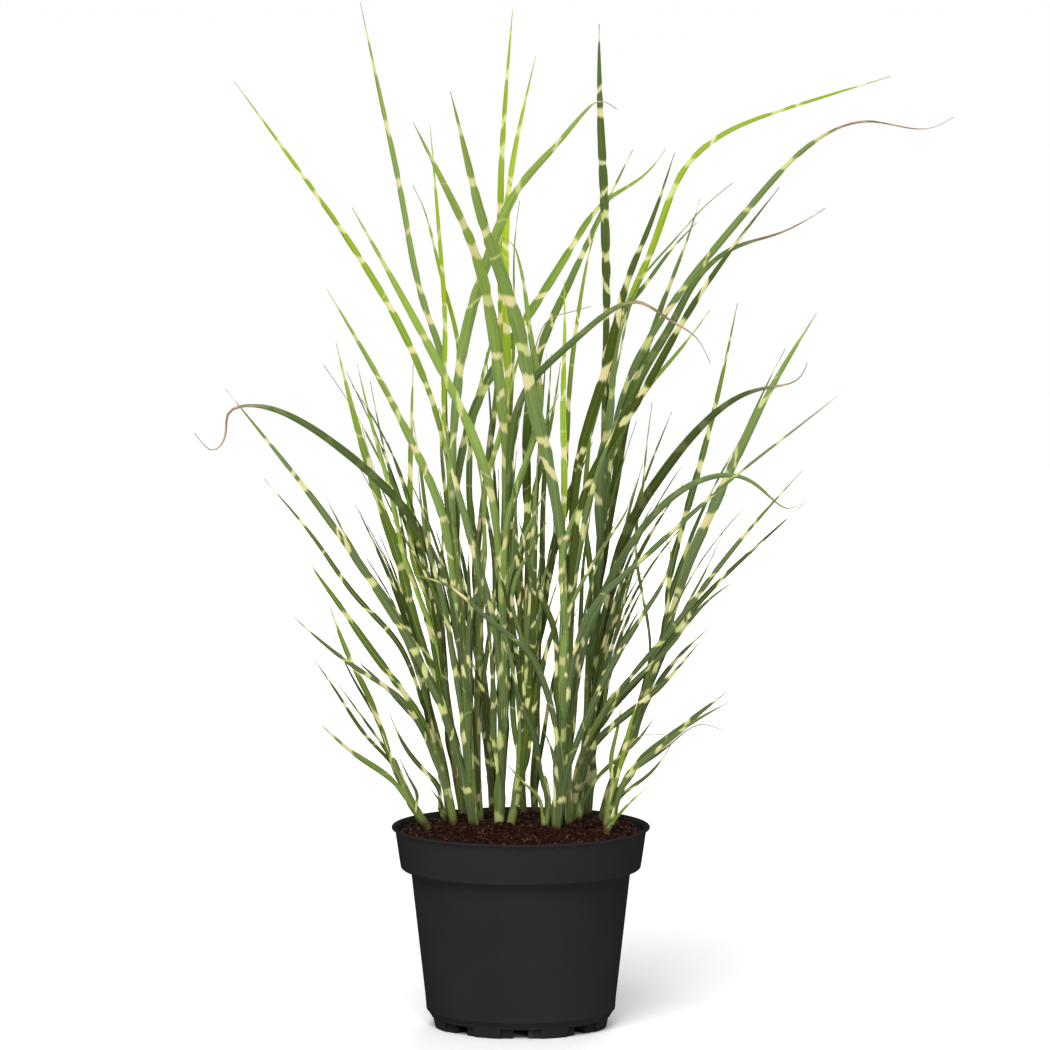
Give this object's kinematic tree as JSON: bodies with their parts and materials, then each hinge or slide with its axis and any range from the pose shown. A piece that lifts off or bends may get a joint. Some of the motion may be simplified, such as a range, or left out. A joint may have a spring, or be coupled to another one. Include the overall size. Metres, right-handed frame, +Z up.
{
  "type": "potted miscanthus grass clump",
  "caption": "Clump of upright and arching banded grass shoots and narrow blades, rooted in peat in a round black plastic nursery pot.",
  "frame": {"origin": "on the ground, at the centre of the pot's base", "axes": "+Z up along the pot's axis, -Y towards the viewer, +X to the right, the side the longest blade leans to"},
  "size_m": [0.5474, 0.2908, 0.7541],
  "materials": {
    "pot_plastic": "satin black moulded polypropylene",
    "soil": "damp crumbly peat compost",
    "shoot": "satin green sheaths with pale spots",
    "leaf": "satin green blades with cream-yellow cross bands"
  },
  "bodies": {
    "root": {"pot": "pot_plastic", "soil": "soil", "shoot_left_outer": "shoot", "shoot_left_stub": "shoot", "shoot_left_low": "shoot", "shoot_left_back": "shoot", "shoot_left_inner": "shoot", "shoot_left_tall": "shoot", "shoot_middle_left": "shoot", "shoot_middle_tall": "shoot", "shoot_middle_fan": "shoot", "shoot_middle_bright": "shoot", "shoot_middle_short": "shoot", "shoot_middle_thin": "shoot", "shoot_right_tall": "shoot", "shoot_right_inner": "shoot", "shoot_right_lean": "shoot", "shoot_right_outer": "shoot", "shoot_back_dark": "shoot", "shoot_back_right": "shoot", "shoot_back_tall": "shoot", "shoot_right_slant": "shoot", "leaf_left_sweep": "leaf", "leaf_top_highest": "leaf", "leaf_left_front": "leaf", "leaf_top_front": "leaf", "leaf_middle_widest": "leaf", "leaf_top_back": "leaf", "leaf_top_curl": "leaf", "leaf_top_bright": "leaf", "leaf_right_upright": "leaf", "leaf_back_diagonal": "leaf", "leaf_back_olive": "leaf", "leaf_front_arch": "leaf", "leaf_right_dark": "leaf", "leaf_right_sweep": "leaf", "leaf_right_longest": "leaf", "leaf_right_front": "leaf", "leaf_right_bowed": "leaf", "leaf_middle_cross": "leaf", "leaf_low_cross": "leaf", "leaf_right_curl": "leaf", "leaf_right_spear": "leaf", "leaf_right_broad": "leaf", "leaf_right_drooping": "leaf", "leaf_right_straight": "leaf", "leaf_right_arch": "leaf", "leaf_right_low_front": "leaf", "leaf_right_low_dark": "leaf", "leaf_right_bottom": "leaf", "leaf_left_curl": "leaf", "leaf_left_long": "leaf", "leaf_left_back": "leaf", "leaf_left_fine": "leaf", "leaf_left_lower": "leaf", "leaf_left_bunch": "leaf", "leaf_left_bright": "leaf", "leaf_left_flat": "leaf", "leaf_left_base": "leaf", "leaf_left_lowest": "leaf"}
  },
  "joints": []
}
